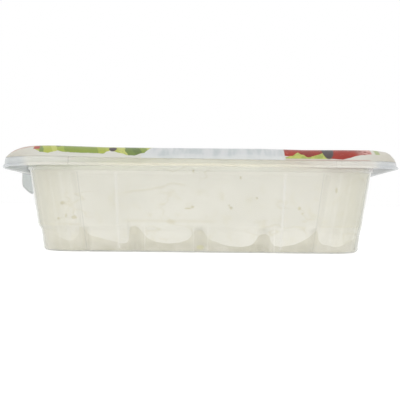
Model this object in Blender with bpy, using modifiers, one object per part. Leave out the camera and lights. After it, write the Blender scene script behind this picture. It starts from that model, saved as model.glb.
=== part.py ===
"""Primo sale cheese in its shop pack.

A block of fresh cheese lies in a clear thermoformed tray, with a little whey in the channel round its
foot, and a printed film is sealed over the rim. Metres, +Z up. The long sides run along X, and the
film's pull tab hangs on the -X side. The origin is under the middle of the tray, on the standing face.
"""
import math

import bmesh
import bpy

# ---------------------------------------------------------------- driving dimensions
PACK_LENGTH = 0.170          # lip to lip along X
PACK_DEPTH = 0.119           # lip to lip along Y
SHEET = 0.0005               # wall of the tray, drawn as the middle of the sheet
FILM = 0.00025               # thickness of the lidding film
GAP = 0.0003                 # clearance kept between neighbouring pieces

LIP_RADIUS = 0.021           # plan corner of the lip
BODY_RADIUS = 0.0155         # plan corner of the body
LIP_HEIGHT = 0.0354          # underside of the lip
RIM_HEIGHT = 0.0392          # top of the skirt, where the film is cut
RIDGE_HEIGHT = 0.0433        # top of the sloping seal land
SHOULDER_HEIGHT = 0.0350     # step under the collar, where the side walls start
LEDGE_HEIGHT = 0.0116        # step above the ribbed foot band
FLANGE_WIDTH = 0.0106        # from the lip to the body wall at the shoulder
WALL_TAPER = 0.135           # inward run of the walls per metre of height
LEDGE_STEP = 0.0010          # how far the foot band is set in

COLUMN = 0.0213              # width of the fluted corner columns
PANEL_RECESS = 0.0011        # side panels lie behind the corner columns
FLUTES = 3                   # shallow flutes on each corner
FLUTE_DEPTH = 0.0003
WIDE_RIB = (0.0072, 0.0022)  # width and depth of the ribs of the foot band
EDGE_RIB = (0.0050, 0.0014)  # the same, for the ribs beside the corner columns
RIB_PITCH = 0.0283           # spacing of the wide ribs on the long sides

CHEESE_TOP = 0.0392          # upper edge of the cheese at the middle of a long side
CHEESE_CROWN = 0.0020        # rise of its top from the edge to the middle
CHEESE_DROP = 0.0018         # how much lower the upper edge is at the corners
LOBE_FOOT = 0.0042           # where the cheese leaves the wall between two ribs
LOBE_HEAD = 0.0098           # and at a rib, where the channel of whey rises in an arch
CHANNEL = 0.0052             # width of the whey channel on the floor
UNDERCUT = ((0.0, 1.0), (0.34, 0.86), (0.68, 0.56), (0.90, 0.28), (1.0, 0.0))  # rise, share of CHANNEL

FILM_TOP = 0.0450            # film over the middle of the pack
FILM_END_LIFT = 0.0006       # the film stands this much higher near the two short sides
FILM_INSET = 0.0009          # the film is cut this far inside the lip
TAB_MIDDLE = 0.0220          # Y of the middle of the pull tab
TAB_HALF_WIDTH = 0.0150
TAB_DROP = 0.0146            # from the film's edge down to the tab's tip
TAB_CORNER = 0.0100          # radius of its two lower corners

HALF_LENGTH = PACK_LENGTH / 2
HALF_DEPTH = PACK_DEPTH / 2
FRONT, RIGHT, BACK, LEFT = range(4)
QUARTER = math.pi / 2


# ---------------------------------------------------------------- plan outlines
def wall_inset(height):
    """Inward distance from the lip to the wall's mid-sheet at a height below the shoulder."""
    inset = FLANGE_WIDTH + WALL_TAPER * (SHOULDER_HEIGHT - height)
    if height < LEDGE_HEIGHT:
        inset += LEDGE_STEP
    return inset


def straight_half(side, inset, radius):
    """Half of the straight stretch of a side of the outline."""
    half = HALF_LENGTH if side in (FRONT, BACK) else HALF_DEPTH
    return half - inset - radius


def panel_half(side):
    """Half width of the recessed panel at the height of the ledge."""
    half = HALF_LENGTH if side in (FRONT, BACK) else HALF_DEPTH
    return half - wall_inset(LEDGE_HEIGHT) - COLUMN


def ribs(side):
    """Middle, width and depth of each rib on a side, along that side."""
    edge = panel_half(side)
    rows = [(-edge, *EDGE_RIB), (0.0, *WIDE_RIB), (edge, *EDGE_RIB)]
    if side in (FRONT, BACK):
        rows += [(-RIB_PITCH, *WIDE_RIB), (RIB_PITCH, *WIDE_RIB)]
    return sorted(rows)


def stations(corner_steps, between):
    """Places round the outline: (side, place along it) or (corner, turn from 0 to 1).

    The straight sides have points at the ribs' edges, flanks and middles, and `between` more points in
    each field between two ribs; the corners have `corner_steps` equal steps.
    """
    rows = []
    for side in (FRONT, RIGHT, BACK, LEFT):
        places = []
        last = None
        for middle, width, depth in ribs(side):
            flanks = (-0.5, -0.25, 0.0, 0.25, 0.5) if depth == WIDE_RIB[1] else (-0.5, 0.0, 0.5)
            if last is not None:
                first = middle - width / 2
                step = (first - last) / (between + 1)
                places += [last + step * count for count in range(1, between + 1)]
            places += [middle + width * flank for flank in flanks]
            last = middle + width / 2
        turn = 1 if side in (FRONT, RIGHT) else -1
        rows += [("side", side, place * turn) for place in sorted(places)]
        rows += [("corner", side, step / corner_steps) for step in range(corner_steps + 1)]
    return rows


def ribbing(side, place, amount, widen):
    """Inward bulge of the foot band's ribs at a place along a side, `widen` more on each flank."""
    bulge = 0.0
    for middle, width, depth in ribs(side):
        away = abs(abs(place) - abs(middle)) / (width + 2 * widen)
        if away < 0.5:
            bulge = max(bulge, depth * math.cos(math.pi * away) ** 2)
    return bulge * amount


def recess(side, place, amount, widen):
    """Inward step of the side panel, full up to its edge and gone half a rib further on."""
    over = (abs(place) - panel_half(side) - 2 * widen) / (EDGE_RIB[0] / 2)
    return PANEL_RECESS * amount * min(1.0, max(0.0, 1.0 - over))


def outline(places, inset, radius, rib=0.0, panel=0.0, flute=0.0, widen=0.0):
    """Points (x, y) of a rounded rectangle, set in from the lip, with its ribs, panels and flutes."""
    points = []
    for kind, side, value in places:
        if kind == "side":
            half_x = HALF_LENGTH - inset
            half_y = HALF_DEPTH - inset
            reach = half_y if side in (FRONT, BACK) else half_x
            level = straight_half(side, wall_inset(LEDGE_HEIGHT), BODY_RADIUS)
            along = value * straight_half(side, inset, radius) / level
            out = reach - ribbing(side, value, rib, widen) - recess(side, value, panel, widen)
            point = {FRONT: (along, -out), RIGHT: (out, along), BACK: (along, out),
                     LEFT: (-out, along)}[side]
        else:
            wave = FLUTE_DEPTH * flute * (1 - math.cos(2 * math.pi * FLUTES * value)) / 2
            bend = radius - wave
            angle = QUARTER * (side - 1 + value)
            centre_x = (HALF_LENGTH - inset - radius) * (1 if side in (FRONT, RIGHT) else -1)
            centre_y = (HALF_DEPTH - inset - radius) * (1 if side in (RIGHT, BACK) else -1)
            point = (centre_x + bend * math.cos(angle), centre_y + bend * math.sin(angle))
        points.append(point)
    return points


# ---------------------------------------------------------------- meshes
def add_ring(mesh, points, heights):
    """A ring of vertices at one height, or at a height for each point."""
    if not isinstance(heights, list):
        heights = [heights] * len(points)
    return [mesh.verts.new((x, y, z)) for (x, y), z in zip(points, heights)]


def loft(mesh, rings, closed=False):
    """Faces between one ring and the next, and from the last to the first where it is closed."""
    pairs = list(zip(rings, rings[1:]))
    if closed:
        pairs.append((rings[-1], rings[0]))
    for low, high in pairs:
        count = len(low)
        for index in range(count):
            after = (index + 1) % count
            mesh.faces.new((low[index], low[after], high[after], high[index]))


def cap(mesh, ring, centre_height):
    """Close a ring with a fan to one vertex in its middle."""
    centre = mesh.verts.new((0.0, 0.0, centre_height))
    for index, vertex in enumerate(ring):
        mesh.faces.new((vertex, ring[(index + 1) % len(ring)], centre))


def material(name, colour, roughness, transmission=0.0):
    """A Principled material, its colour in linear RGB."""
    look = bpy.data.materials.new(name)
    look.use_nodes = True
    shader = look.node_tree.nodes["Principled BSDF"]
    shader.inputs["Base Color"].default_value = (*colour, 1.0)
    shader.inputs["Roughness"].default_value = roughness
    shader.inputs["Metallic"].default_value = 0.0
    shader.inputs["Transmission Weight"].default_value = transmission
    look.diffuse_color = (*colour, 1.0)
    return look


def finish(mesh, name, look, collection, wall=0.0):
    """Turn a bmesh into an object, with a wall thickness where it is a sheet."""
    bmesh.ops.recalc_face_normals(mesh, faces=mesh.faces)
    data = bpy.data.meshes.new(name)
    mesh.to_mesh(data)
    mesh.free()
    data.materials.append(look)
    data.shade_smooth()
    data.set_sharp_from_angle(angle=math.radians(40))
    piece = bpy.data.objects.new(name, data)
    collection.objects.link(piece)
    if wall:
        sheet = piece.modifiers.new("wall", "SOLIDIFY")
        sheet.thickness = wall
        sheet.offset = 0.0
        sheet.use_even_offset = True
        sheet.use_quality_normals = True
    return piece


# ---------------------------------------------------------------- the four pieces
def make_tray(collection):
    """Lip, skirt, sloping land, collar, panelled walls, ribbed foot band and floor, in one sheet."""
    places = stations(corner_steps=9, between=0)
    mesh = bmesh.new()
    half_sheet = SHEET / 2
    low = wall_inset(0.0030)
    sections = [
        # inset, height, radius, rib, panel, flute
        (0.0000, LIP_HEIGHT + half_sheet, LIP_RADIUS, 0, 0, 0),
        (0.0011, LIP_HEIGHT + half_sheet, LIP_RADIUS - 0.0008, 0, 0, 0),
        (0.0016, RIM_HEIGHT - 0.0006, LIP_RADIUS - 0.0010, 0, 0, 0),
        (0.0024, RIM_HEIGHT, LIP_RADIUS - 0.0015, 0, 0, 0),
        (0.0078, RIDGE_HEIGHT - half_sheet, BODY_RADIUS + 0.0014, 0, 0, 0),
        (0.0091, RIDGE_HEIGHT - 0.0003, BODY_RADIUS + 0.0008, 0, 0, 0),
        (0.0097, RIDGE_HEIGHT - 0.0014, BODY_RADIUS + 0.0004, 0, 0, 0),
        (0.0100, SHOULDER_HEIGHT + 0.0005, BODY_RADIUS, 0, 0, 0),
        (FLANGE_WIDTH, SHOULDER_HEIGHT, BODY_RADIUS, 0, 0, 0),
        (wall_inset(SHOULDER_HEIGHT - 0.0014), SHOULDER_HEIGHT - 0.0014, BODY_RADIUS, 0, 1, 1),
        (wall_inset(LEDGE_HEIGHT), LEDGE_HEIGHT, BODY_RADIUS, 0, 1, 1),
        (wall_inset(LEDGE_HEIGHT) + LEDGE_STEP, LEDGE_HEIGHT - 0.0008, BODY_RADIUS, 0.3, 0.8, 0.5),
        (wall_inset(LEDGE_HEIGHT - 0.0026), LEDGE_HEIGHT - 0.0026, BODY_RADIUS, 1, 0.6, 0.5),
        (low, 0.0030, BODY_RADIUS, 1, 0.5, 0.5),
        (low + 0.0008, 0.0011, BODY_RADIUS - 0.0006, 0.8, 0.3, 0),
        (low + 0.0026, half_sheet, BODY_RADIUS - 0.0020, 0.3, 0, 0),
        (low + 0.0060, half_sheet, BODY_RADIUS - 0.0050, 0, 0, 0),
    ]
    rings = []
    for inset, height, radius, rib, panel, flute in sections:
        rings.append(add_ring(mesh, outline(places, inset, radius, rib, panel, flute), height))
    loft(mesh, rings)
    cap(mesh, rings[-1], half_sheet)
    look = material("clear_polypropylene", (0.70, 0.70, 0.67), 0.25, 0.8)
    return finish(mesh, "tray", look, collection, SHEET)


def contact_height(kind, side, value):
    """Height at which the cheese leaves the wall: low between the ribs, high in an arch at each rib."""
    if kind == "corner":
        fall = math.sin(math.pi * value)
        return LOBE_HEAD + (LOBE_FOOT - LOBE_HEAD) * fall ** 0.6
    middles = [middle for middle, width, depth in ribs(side)]
    nearest = min(abs(value - middle) for middle in middles)
    field = panel_half(side) / (2 if side in (FRONT, BACK) else 1) / 2
    fall = math.sin(QUARTER * min(1.0, nearest / field))
    return LOBE_HEAD + (LOBE_FOOT - LOBE_HEAD) * fall ** 0.8


def edge_fall(kind, side, value):
    """How far the top edge of the cheese is below its height at the middle of a long side."""
    if kind == "corner":
        return 1.0
    level = straight_half(side, wall_inset(LEDGE_HEIGHT), BODY_RADIUS)
    if side in (FRONT, BACK):
        return (value / level) ** 2
    return 0.6 + 0.4 * (value / level) ** 2


def filling_plan(places, inset, share, rib, panel):
    """Outline of what lies in the tray, clear of its ribs, `share` of the channel in from the wall."""
    clear = SHEET / 2 + GAP
    radius = BODY_RADIUS - 0.4 * CHANNEL * share
    return outline(places, inset + clear + CHANNEL * share, radius, rib, panel, widen=clear)


def channel_level(contact, rise):
    """Heights in the whey channel, from the floor up to where the cheese meets the wall."""
    floor = SHEET + GAP
    return [floor + (height - floor) * rise for height in contact]


def make_cheese(collection):
    """The block: a flat foot, a scalloped and undercut lower edge, tapered sides and a crowned top."""
    places = stations(corner_steps=6, between=3)
    mesh = bmesh.new()
    contact = [contact_height(*place) for place in places]
    falls = [edge_fall(*place) for place in places]
    foot_inset = wall_inset(LOBE_FOOT)
    rings = []
    for rise, share in UNDERCUT:
        plan = filling_plan(places, foot_inset, share, 1.15 - 0.6 * share, 0.7)
        rings.append(add_ring(mesh, plan, channel_level(contact, rise)))
    for height, rib, panel in ((LEDGE_HEIGHT - 0.0010, 0.9, 1.0), (LEDGE_HEIGHT + 0.0006, 0.3, 1.0)):
        rings.append(add_ring(mesh, filling_plan(places, wall_inset(height), 0.0, rib, panel), height))
    wall_top = SHOULDER_HEIGHT - 0.0018
    rings.append(add_ring(mesh, filling_plan(places, wall_inset(wall_top), 0.0, 0.0, 1.0), wall_top))
    for below, pull, panel in ((0.0016, 0.12, 0.8), (0.0003, 0.45, 0.4)):
        heights = [CHEESE_TOP - below - CHEESE_DROP * fall for fall in falls]
        rings.append(add_ring(mesh, filling_plan(places, FLANGE_WIDTH, pull, 0.0, panel), heights))
    for share, pull in ((0.35, 1.8), (0.75, 4.6)):
        heights = [CHEESE_TOP + CHEESE_CROWN * share - CHEESE_DROP * fall * (1 - share) for fall in falls]
        rings.append(add_ring(mesh, filling_plan(places, FLANGE_WIDTH, pull, 0.0, 0.0), heights))
    loft(mesh, rings)
    cap(mesh, rings[0], SHEET + GAP)
    cap(mesh, rings[-1], CHEESE_TOP + CHEESE_CROWN)
    look = material("fresh_curd", (0.78, 0.75, 0.64), 0.55)
    return finish(mesh, "cheese", look, collection)


def make_whey(collection):
    """The liquid in the channel between the wall and the undercut edge of the cheese."""
    places = stations(corner_steps=6, between=3)
    mesh = bmesh.new()
    contact = [contact_height(*place) for place in places]
    foot_inset = wall_inset(LOBE_FOOT)
    slack = 2.0 * GAP / CHANNEL
    rings = []
    # from the cheese's foot out over the floor, up the wall, and back down along the undercut
    course = (
        (0.0, 1.0 - 2 * slack), (0.0, 0.54), (0.50, 0.14), (0.76, 0.04),
        (0.76, 0.46 - slack), (0.56, 0.66 - slack), (0.30, 0.88 - slack),
    )
    for rise, share in course:
        plan = filling_plan(places, foot_inset, share, 1.0 - 0.5 * share, 0.7)
        rings.append(add_ring(mesh, plan, channel_level(contact, rise)))
    loft(mesh, rings, closed=True)
    look = material("whey", (0.62, 0.58, 0.44), 0.08, 0.6)
    return finish(mesh, "whey", look, collection)


def film_height(x):
    """Height of the film's flat middle at a place along the pack."""
    return FILM_TOP + FILM_END_LIFT * (x / HALF_LENGTH) ** 2


def film_stations(tab_places):
    """Places round the film: even steps, with the pull tab's own points on the left side."""
    rows = []
    for side, steps in ((FRONT, 10), (RIGHT, 6), (BACK, 10)):
        reach = straight_half(side, wall_inset(LEDGE_HEIGHT), BODY_RADIUS)
        turn = -1 if side == BACK else 1
        rows += [("side", side, turn * reach * (2 * step / steps - 1)) for step in range(1, steps)]
        rows += [("corner", side, step / 8) for step in range(9)]
    rows += [("side", LEFT, place) for place in tab_places]
    rows += [("side", LEFT, tab_places[-1] * (1 - step / 2)) for step in range(1, 3)]
    rows += [("side", LEFT, -tab_places[0] * step / 2) for step in range(1, 2)]
    rows += [("corner", LEFT, step / 8) for step in range(9)]
    return rows


def make_film(collection):
    """The lidding film: it follows the sloping land, lies nearly flat inside it, and has a pull tab."""
    columns = 9
    across = [TAB_MIDDLE + TAB_HALF_WIDTH * (1 - 2 * step / (columns - 1)) for step in range(columns)]
    cut = LIP_RADIUS - 0.0006
    scale = straight_half(LEFT, FILM_INSET, cut) / straight_half(
        LEFT, wall_inset(LEDGE_HEIGHT), BODY_RADIUS)
    places = film_stations([y / scale for y in across])
    mesh = bmesh.new()
    rim = RIM_HEIGHT + 0.0004
    land = (
        (FILM_INSET, 0.0, cut),
        (0.0032, 0.34, LIP_RADIUS - 0.0018),
        (0.0064, 0.74, BODY_RADIUS + 0.0026),
        (0.0090, 0.90, BODY_RADIUS + 0.0010),
        (0.0140, 0.98, BODY_RADIUS - 0.0010),
        (0.0240, 1.0, BODY_RADIUS - 0.0040),
        (0.0420, 1.0, BODY_RADIUS - 0.0090),
    )
    rings = []
    for inset, share, radius in land:
        plan = outline(places, inset, radius)
        heights = [rim + (film_height(x) - rim) * share for x, y in plan]
        rings.append(add_ring(mesh, plan, heights))
    loft(mesh, rings)
    cap(mesh, rings[-1], FILM_TOP)
    first = next(index for index, place in enumerate(places) if place[:2] == ("side", LEFT))
    top = rings[0][first:first + columns]
    hem = top
    path = ((0.0007, 0.03), (0.0014, 0.12), (0.0018, 0.30), (0.0020, 0.55), (0.0021, 0.80), (0.0021, 1.0))
    for out, share in path:
        row = []
        for vertex, y in zip(top, across):
            past = max(0.0, abs(y - TAB_MIDDLE) - (TAB_HALF_WIDTH - TAB_CORNER))
            lost = TAB_CORNER - math.sqrt(TAB_CORNER ** 2 - past ** 2)
            row.append(mesh.verts.new((vertex.co.x - out, y, rim - (TAB_DROP - lost) * share)))
        for index in range(columns - 1):
            mesh.faces.new((hem[index], hem[index + 1], row[index + 1], row[index]))
        hem = row
    look = material("printed_film", (0.80, 0.81, 0.80), 0.35)
    return finish(mesh, "lid_film", look, collection, FILM)


def main():
    for piece in list(bpy.data.objects):
        bpy.data.objects.remove(piece)
    collection = bpy.data.collections.new("primo_sale_pack")
    bpy.context.scene.collection.children.link(collection)
    make_tray(collection)
    make_cheese(collection)
    make_whey(collection)
    make_film(collection)


main()
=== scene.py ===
import functools
import math
import random

import bmesh
import bpy
from mathutils import Euler, Matrix, Vector, noise


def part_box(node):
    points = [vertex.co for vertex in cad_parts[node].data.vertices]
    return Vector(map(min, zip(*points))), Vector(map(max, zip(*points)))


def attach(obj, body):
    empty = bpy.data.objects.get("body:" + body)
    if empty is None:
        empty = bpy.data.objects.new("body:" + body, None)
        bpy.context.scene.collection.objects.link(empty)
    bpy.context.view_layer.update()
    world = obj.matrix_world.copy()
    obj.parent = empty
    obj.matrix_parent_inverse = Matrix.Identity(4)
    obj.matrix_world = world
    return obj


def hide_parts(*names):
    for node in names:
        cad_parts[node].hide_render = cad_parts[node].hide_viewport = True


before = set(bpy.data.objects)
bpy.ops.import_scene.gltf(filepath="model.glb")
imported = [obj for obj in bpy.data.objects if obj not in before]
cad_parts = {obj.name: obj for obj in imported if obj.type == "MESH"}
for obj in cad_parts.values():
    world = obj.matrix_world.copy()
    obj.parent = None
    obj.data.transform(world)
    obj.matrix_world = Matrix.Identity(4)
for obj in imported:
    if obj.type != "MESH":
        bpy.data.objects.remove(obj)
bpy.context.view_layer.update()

# The pack: fresh cheese and whey in a clear thermoformed tray, under a printed film. Lengths in
# millimetres until a mesh is made.
MM = 0.001
QUARTER = math.pi / 2
FRONT, RIGHT, BACK, LEFT = range(4)

# the tray, from the box of its solid
far_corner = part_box("tray")[1]
HALF_LENGTH = far_corner[0] / MM
HALF_DEPTH = far_corner[1] / MM
LIP_RADIUS = 21.0
BODY_RADIUS = 15.5
LIP_HEIGHT = 35.4
RIM_HEIGHT = 39.2
RIDGE_HEIGHT = 43.3
SHOULDER_HEIGHT = 35.0
LEDGE_HEIGHT = 11.6
FLANGE_WIDTH = 10.6
WALL_TAPER = 0.135
LEDGE_STEP = 1.0
COLUMN = 21.3  # width of a fluted corner column
RIGHT_FOOT = 0.9  # how much further out the foot stands at the right end
PANEL_RECESS = 1.1
FLUTES = 3
FLUTE_DEPTH = 0.35
WIDE_RIB = (7.2, 1.8)  # width, depth
EDGE_RIB = (5.0, 0.9)
RIB_PITCH = 28.3
CREASE_PLACE = 35.0
CREASE = (2.8, 0.12)  # width, height
SHEET = 0.42  # thickness

CHEESE_TOP = 39.2
CHEESE_CROWN = 2.0
CHEESE_DROP = 1.8  # how much lower the top's edge is at a corner
CHEESE_FLOOR = 0.62  # height of its flat foot
CHANNEL = 5.2  # width of the channel of whey at the cheese's foot
WALL_CONTACT = 0.10  # from the middle of the sheet to what lies against it

FILM_TOP = 45.0
FILM_END_LIFT = 0.6
FILM_INSET = 1.0
FILM = 0.16  # thickness
# the pull tab at the left end: distance back from the middle of the pack, and drop of its lower edge
TAB_EDGE = [(7.0, 8.6), (7.4, 9.6), (8.6, 10.6), (10.4, 11.3), (14.0, 12.0), (18.0, 12.7), (24.0, 13.6),
            (30.0, 14.2), (34.0, 14.4), (35.8, 14.0), (36.7, 13.0), (37.0, 11.6)]


# -------------------- plan outlines
def wall_inset(height):
    """Inward distance from the lip to the wall's mid-sheet, below the shoulder."""
    inset = FLANGE_WIDTH + WALL_TAPER * (SHOULDER_HEIGHT - height)
    return inset + (LEDGE_STEP if height < LEDGE_HEIGHT else 0.0)


def half_of(side):
    """Distance from the middle of the pack to a side's lip."""
    return HALF_LENGTH if side in (FRONT, BACK) else HALF_DEPTH


def level_straight(side):
    """Half of a side's straight stretch at the ledge, the scale that places along it are given in."""
    return half_of(side) - wall_inset(LEDGE_HEIGHT) - BODY_RADIUS


def panel_half(side):
    """Half width of a side's recessed panel, between its two corner columns."""
    return half_of(side) - wall_inset(LEDGE_HEIGHT) - COLUMN


def ribs(side):
    """Middle, width and depth of each rib of the foot band along a side."""
    edge = panel_half(side)
    rows = [(-edge, *EDGE_RIB), (0.0, *WIDE_RIB), (edge, *EDGE_RIB)]
    if side in (FRONT, BACK):
        rows += [(-RIB_PITCH, *WIDE_RIB), (RIB_PITCH, *WIDE_RIB)]
    return sorted(rows)


def stations(spacing, corner_steps):
    """Places round the outline, even along the sides and closer at panel edges and creases."""
    rows = []
    for side in (FRONT, RIGHT, BACK, LEFT):
        reach = level_straight(side)
        steps = round(2 * reach / spacing)
        places = [reach * (2 * step / steps - 1) for step in range(1, steps)]
        fine = [panel_half(side) + step * 0.5 for step in range(-4, 8)]
        if side in (FRONT, BACK):
            fine += [CREASE_PLACE + step * 0.4 for step in range(-6, 5)]
        fine = sorted([-place for place in fine] + fine)
        places = [place for place in places if min(abs(place - other) for other in fine) > 0.3]
        places = sorted(places + [place for place in fine if abs(place) < reach - 0.2])
        turn = 1 if side in (FRONT, RIGHT) else -1
        rows += [("side", side, place * turn) for place in sorted(place * turn for place in places)]
        rows += [("corner", side, step / corner_steps) for step in range(corner_steps + 1)]
    return rows


def smooth(value):
    """0 up to 0, 1 from 1, with a soft rise between."""
    value = min(1.0, max(0.0, value))
    return value * value * (3 - 2 * value)


def ribbing(side, place):
    """Inward bulge of the foot band's ribs at a place along a side."""
    bulge = 0.0
    for middle, width, depth in ribs(side):
        away = abs(place - middle) / width
        if away < 0.5:
            bulge = max(bulge, depth * math.cos(math.pi * away) ** 2)
    return bulge


def recess(side, place):
    """Inward step of the side panel, gone just past the edge of the corner column."""
    return PANEL_RECESS * smooth(1 - (abs(place) - panel_half(side)) / (EDGE_RIB[0] / 2))


def crease(side, place):
    """Outward fold of the thin bead that runs up each long side."""
    if side not in (FRONT, BACK):
        return 0.0
    away = abs(abs(place) - CREASE_PLACE) / CREASE[0]
    return CREASE[1] * math.cos(math.pi * away) ** 2 if away < 0.5 else 0.0


def outline(places, inset, radius, rib=0.0, panel=0.0, flute=0.0, bead=0.0):
    """Points (x, y) of a rounded rectangle set in from the lip, with shares of the wall's small forms."""
    points = []
    for kind, side, value in places:
        right_end = side == RIGHT or (kind == "corner" and side == FRONT)
        half_x = HALF_LENGTH - inset + (RIGHT_FOOT * rib if right_end else 0.0)
        half_y = HALF_DEPTH - inset
        if kind == "side":
            along = value * (half_of(side) - inset - radius) / level_straight(side)
            out = half_y if side in (FRONT, BACK) else half_x
            out += crease(side, (value + along) / 2) * bead
            out -= ribbing(side, value) * rib + recess(side, value) * panel
            point = {FRONT: (along, -out), RIGHT: (out, along), BACK: (along, out),
                     LEFT: (-out, along)}[side]
        else:
            bend = radius - FLUTE_DEPTH * flute * (1 - math.cos(2 * math.pi * FLUTES * value)) / 2
            angle = QUARTER * (side - 1 + value)
            centre_x = (half_x - radius) * (1 if side in (FRONT, RIGHT) else -1)
            centre_y = (half_y - radius) * (1 if side in (RIGHT, BACK) else -1)
            point = (centre_x + bend * math.cos(angle), centre_y + bend * math.sin(angle))
        points.append(point)
    return points


# wall of the tray from the standing face up: height, inset, radius, rib, panel, flute, bead
LOW = wall_inset(3.0)
WALL = [
    (0.25, LOW + 1.5, BODY_RADIUS - 1.2, 0.5, 0.1, 0.1, 0.0),
    (0.40, LOW + 0.9, BODY_RADIUS - 0.7, 0.7, 0.2, 0.2, 0.3),
    (0.80, LOW + 0.4, BODY_RADIUS - 0.3, 0.9, 0.3, 0.4, 0.7),
    (1.60, LOW + 0.1, BODY_RADIUS - 0.1, 1.0, 0.4, 0.5, 1.0),
    (3.00, LOW, BODY_RADIUS, 1.0, 0.5, 0.5, 1.0),
    (6.00, wall_inset(6.0), BODY_RADIUS, 1.0, 0.5, 0.5, 1.0),
    (8.40, wall_inset(8.4), BODY_RADIUS, 1.0, 0.6, 0.5, 1.0),
    (9.30, wall_inset(9.3) - 0.10, BODY_RADIUS, 0.85, 0.65, 0.55, 1.0),
    (10.10, wall_inset(10.1) - 0.38, BODY_RADIUS, 0.55, 0.75, 0.65, 1.0),
    (10.80, wall_inset(10.8) - 0.74, BODY_RADIUS, 0.25, 0.85, 0.75, 1.0),
    (11.30, wall_inset(11.3) - 0.94, BODY_RADIUS, 0.10, 0.92, 0.85, 1.0),
    (11.90, wall_inset(11.9), BODY_RADIUS, 0.0, 1.0, 1.0, 1.0),
    (12.60, wall_inset(12.6), BODY_RADIUS, 0.0, 1.0, 1.0, 1.0),
    (18.00, wall_inset(18.0), BODY_RADIUS, 0.0, 1.0, 1.0, 1.0),
    (26.00, wall_inset(26.0), BODY_RADIUS, 0.0, 1.0, 1.0, 1.0),
    (32.60, wall_inset(32.6), BODY_RADIUS, 0.0, 1.0, 1.0, 1.0),
    (33.70, wall_inset(33.7), BODY_RADIUS, 0.0, 0.8, 0.8, 0.8),
    (34.50, wall_inset(34.5), BODY_RADIUS, 0.0, 0.2, 0.2, 0.2),
    (34.95, FLANGE_WIDTH, BODY_RADIUS, 0.0, 0.0, 0.0, 0.0),
    (35.15, FLANGE_WIDTH - 0.15, BODY_RADIUS, 0.0, 0.0, 0.0, 0.0),
    (35.50, FLANGE_WIDTH - 0.55, BODY_RADIUS, 0.0, 0.0, 0.0, 0.0),
    (36.20, FLANGE_WIDTH - 0.65, BODY_RADIUS, 0.0, 0.0, 0.0, 0.0),
    (41.20, 9.75, BODY_RADIUS + 0.3, 0.0, 0.0, 0.0, 0.0),
]


def wall_at(height):
    """The wall's section values at a height, read between the rows of WALL."""
    if height <= WALL[0][0]:
        return WALL[0][1:]
    for low, high in zip(WALL, WALL[1:]):
        if height <= high[0]:
            share = (height - low[0]) / (high[0] - low[0])
            return tuple(a + (b - a) * share for a, b in zip(low[1:], high[1:]))
    return WALL[-1][1:]


# -------------------- meshes
def ring_edges(ring, closed=True):
    """The edges from each vertex of a ring to the next."""
    pairs = list(zip(ring, ring[1:])) + ([(ring[-1], ring[0])] if closed else [])
    return [next(edge for edge in a.link_edges if edge.other_vert(a) is b) for a, b in pairs]


def next_ring(mesh, ring, points, closed=True):
    """Extrude a ring's edges and move the new ring to its points (x, y, z), or make the first ring."""
    if ring is None:
        after = bmesh.ops.create_circle(mesh, segments=len(points), radius=1.0)["verts"]
    else:
        made = bmesh.ops.extrude_edge_only(mesh, edges=ring_edges(ring, closed))["geom"]
        fresh = {item for item in made if isinstance(item, bmesh.types.BMVert)}
        after = []
        for vertex in ring:
            others = [edge.other_vert(vertex) for edge in vertex.link_edges]
            after.append(next(other for other in others if other in fresh))
    for vertex, point in zip(after, points):
        vertex.co = Vector(point) * MM
    return after


def crisp(ring):
    """Keep the fold along a ring sharp in the shading."""
    for edge in ring_edges(ring):
        edge.smooth = False


def fill_disc(mesh, ring, points_at, shares):
    """Close a ring with smaller rings and a small face; points_at(share) gives each ring's points."""
    for share in shares:
        ring = next_ring(mesh, ring, points_at(share))
    bmesh.ops.contextual_create(mesh, geom=ring_edges(ring))


def at_heights(plan, heights):
    """Points (x, y, z) of a plan outline at one height, or each at a height of its own."""
    if not isinstance(heights, list):
        heights = [heights] * len(plan)
    return [(x, y, z) for (x, y), z in zip(plan, heights)]


def finish(mesh, name, looks, wall=0.0):
    """Turn a bmesh into a piece of the pack that rides on the root body."""
    bmesh.ops.recalc_face_normals(mesh, faces=mesh.faces)
    data = bpy.data.meshes.new(name)
    mesh.to_mesh(data)
    mesh.free()
    for look in looks:
        data.materials.append(look)
    data.shade_smooth()
    piece = bpy.data.objects.new(name, data)
    bpy.context.scene.collection.objects.link(piece)
    if wall:
        sheet = piece.modifiers.new("sheet", "SOLIDIFY")
        sheet.thickness = wall * MM
        sheet.offset = 0.0
        sheet.material_offset = len(looks) - 1
    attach(piece, "root")
    return piece


# -------------------- materials
def colour(hex_code):
    """sRGB hex to linear RGBA."""
    parts = [int(hex_code[start:start + 2], 16) / 255 for start in (0, 2, 4)]
    linear = [part / 12.92 if part <= 0.04045 else ((part + 0.055) / 1.055) ** 2.4 for part in parts]
    return (*linear, 1.0)


def add_node(tree, kind, settings, *inputs, **named):
    """Add a node: its settings, then its live inputs in order and others by name, each a value or another
    node's socket. Gives its first live output; the others are reached through .node."""
    node = tree.nodes.new("ShaderNode" + kind)
    for name, value in settings.items():
        setattr(node, name, value)
    links = list(zip((socket for socket in node.inputs if socket.enabled), inputs))
    links += [(node.inputs[name.replace("_", " ")], value) for name, value in named.items()]
    for socket, value in links:
        if isinstance(value, bpy.types.NodeSocket):
            tree.links.new(value, socket)
        else:
            socket.default_value = value
    return next((socket for socket in node.outputs if socket.enabled), None)


def new_material(name):
    """A material with no nodes yet, and the function that adds them."""
    look = bpy.data.materials.new(name)
    look.use_nodes = True
    look.node_tree.nodes.clear()
    return look, functools.partial(add_node, look.node_tree)


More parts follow.
